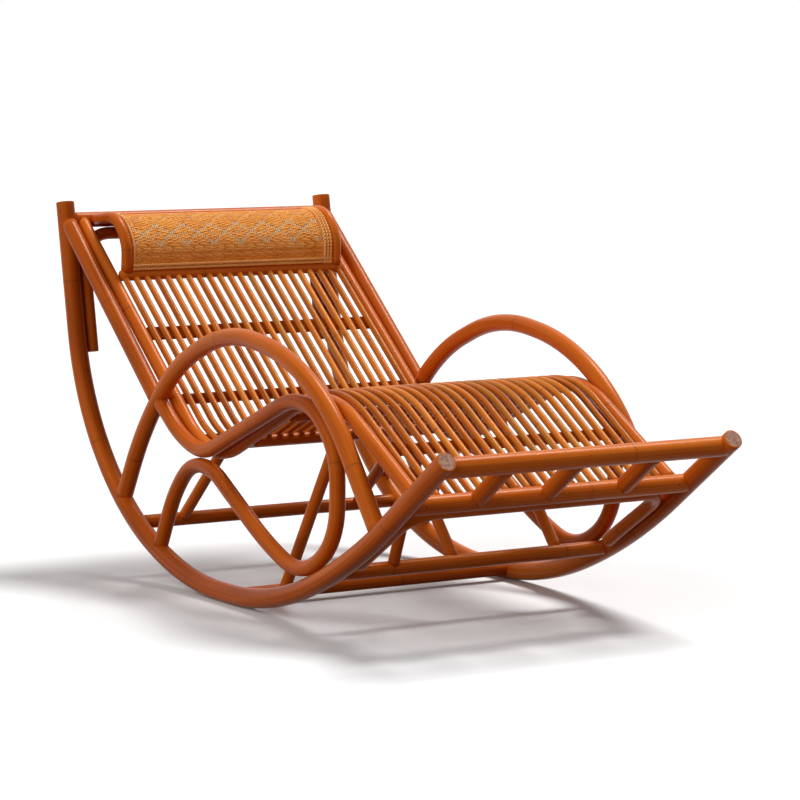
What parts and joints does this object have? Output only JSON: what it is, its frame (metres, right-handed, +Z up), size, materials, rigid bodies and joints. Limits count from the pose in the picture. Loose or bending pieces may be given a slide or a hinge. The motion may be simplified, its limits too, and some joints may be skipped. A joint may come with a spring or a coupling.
{
  "type": "rattan rocking chair",
  "caption": "Reclining rocking chair of bent lacquered rattan poles, with scrolled sides, arched armrests, an S-shaped seat of cane slats and a woven headrest.",
  "frame": {"origin": "on the floor, under the middle of the chair's box", "axes": "+Z up, -Y towards the sitter's feet, +X towards the sitter's left"},
  "size_m": [0.65, 1.4817, 0.7404],
  "materials": {
    "rattan_pole": "glossy lacquer, honey to red-brown",
    "cane_slat": "glossy lacquer, lighter orange",
    "woven_cane": "lacquered cane weave, golden orange",
    "nail_steel": "dull nail heads"
  },
  "bodies": {
    "root": {"armrest_left": "rattan_pole", "armrest_right": "rattan_pole", "back_bar": "rattan_pole", "back_strip": "rattan_pole", "bottom_stretcher": "rattan_pole", "dip_bar": "rattan_pole", "front_gap_struts": "rattan_pole", "front_hoop": "rattan_pole", "front_lower_bar": "rattan_pole", "front_stretcher": "rattan_pole", "front_struts": "rattan_pole", "front_top_bar": "rattan_pole", "head_bar": "rattan_pole", "headrest_hoop_left": "rattan_pole", "headrest_hoop_right": "rattan_pole", "headrest_lower_cane": "rattan_pole", "headrest_panel": "woven_cane", "headrest_upper_cane": "rattan_pole", "hump_bar": "rattan_pole", "leg_bar": "rattan_pole", "middle_strut": "rattan_pole", "nails": "nail_steel", "outer_back_rail_left": "rattan_pole", "outer_back_rail_right": "rattan_pole", "rear_hoop": "rattan_pole", "rear_stretcher": "rattan_pole", "rear_strut_left": "rattan_pole", "rear_strut_right": "rattan_pole", "rocker_left": "rattan_pole", "rocker_right": "rattan_pole", "seat_bar": "rattan_pole", "seat_rail_left": "rattan_pole", "seat_rail_right": "rattan_pole", "side_scroll_left": "rattan_pole", "side_scroll_right": "rattan_pole", "slat_01": "cane_slat", "slat_02": "cane_slat", "slat_03": "cane_slat", "slat_04": "cane_slat", "slat_05": "cane_slat", "slat_06": "cane_slat", "slat_07": "cane_slat", "slat_08": "cane_slat", "slat_09": "cane_slat", "slat_10": "cane_slat", "slat_11": "cane_slat", "slat_12": "cane_slat", "slat_13": "cane_slat", "slat_14": "cane_slat", "slat_15": "cane_slat", "slat_16": "cane_slat", "slat_17": "cane_slat", "slat_18": "cane_slat", "slat_19": "cane_slat", "slat_20": "cane_slat", "slat_21": "cane_slat", "slat_22": "cane_slat", "thigh_bar": "rattan_pole", "top_rail": "rattan_pole"}
  },
  "joints": []
}
